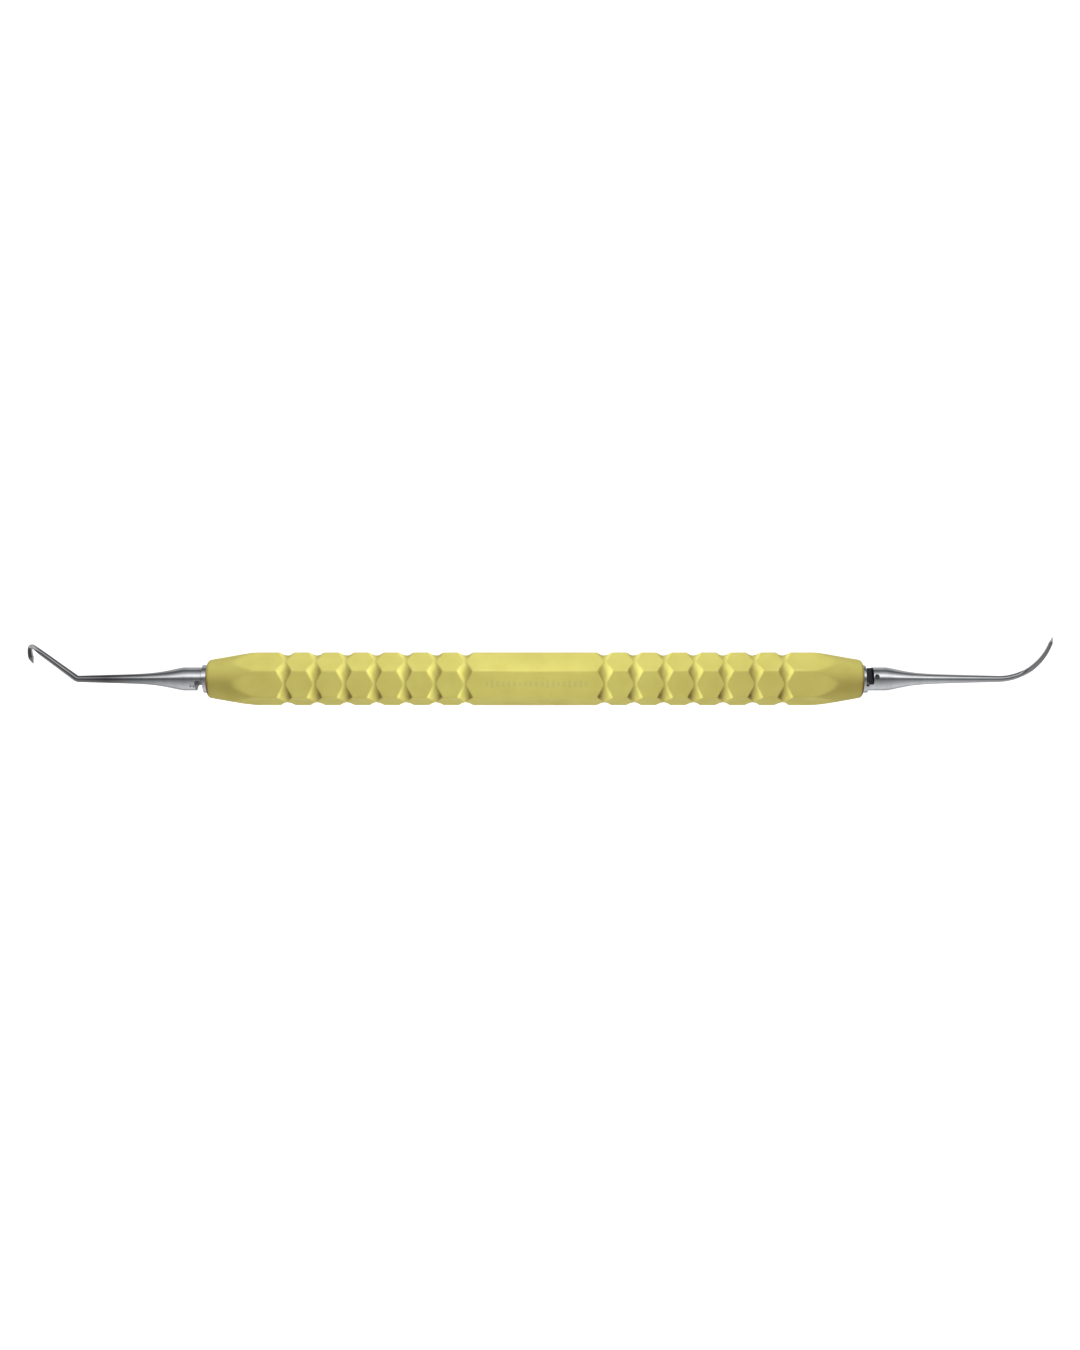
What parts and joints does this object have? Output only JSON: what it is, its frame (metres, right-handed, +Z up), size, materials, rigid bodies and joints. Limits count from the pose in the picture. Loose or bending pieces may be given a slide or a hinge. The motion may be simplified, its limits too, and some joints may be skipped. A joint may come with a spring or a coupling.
{
  "type": "hand scaler",
  "caption": "Double-ended dental hand scaler: grooved hexagonal grip on a steel core tube, with a hooked blade at one end and a long curved sickle blade at the other.",
  "frame": {"origin": "middle of the flat of the hexagon that the handle rests on, at half the handle's length", "axes": "+X along the handle towards the sickle blade, +Z up out of the opposite flat, +Y the side towards which both tips bend"},
  "size_m": [0.1727, 0.0114, 0.008],
  "materials": {
    "grip_polymer": "matte moulded yellow polymer, fine satin grain",
    "blade_steel": "polished hardened stainless steel",
    "tube_steel": "polished stainless steel at the collars",
    "socket_steel": "turned stainless steel",
    "pin_steel": "ground stainless steel",
    "seal_rubber": "matte black sealing rubber"
  },
  "bodies": {
    "root": {"grip_sleeve": "grip_polymer", "core_tube": "tube_steel", "left_socket": "socket_steel", "right_socket": "socket_steel", "left_working_end": "blade_steel", "right_working_end": "blade_steel", "left_seal_ring": "seal_rubber", "right_seal_ring": "seal_rubber", "left_cross_pin": "pin_steel", "right_cross_pin": "pin_steel"}
  },
  "joints": []
}
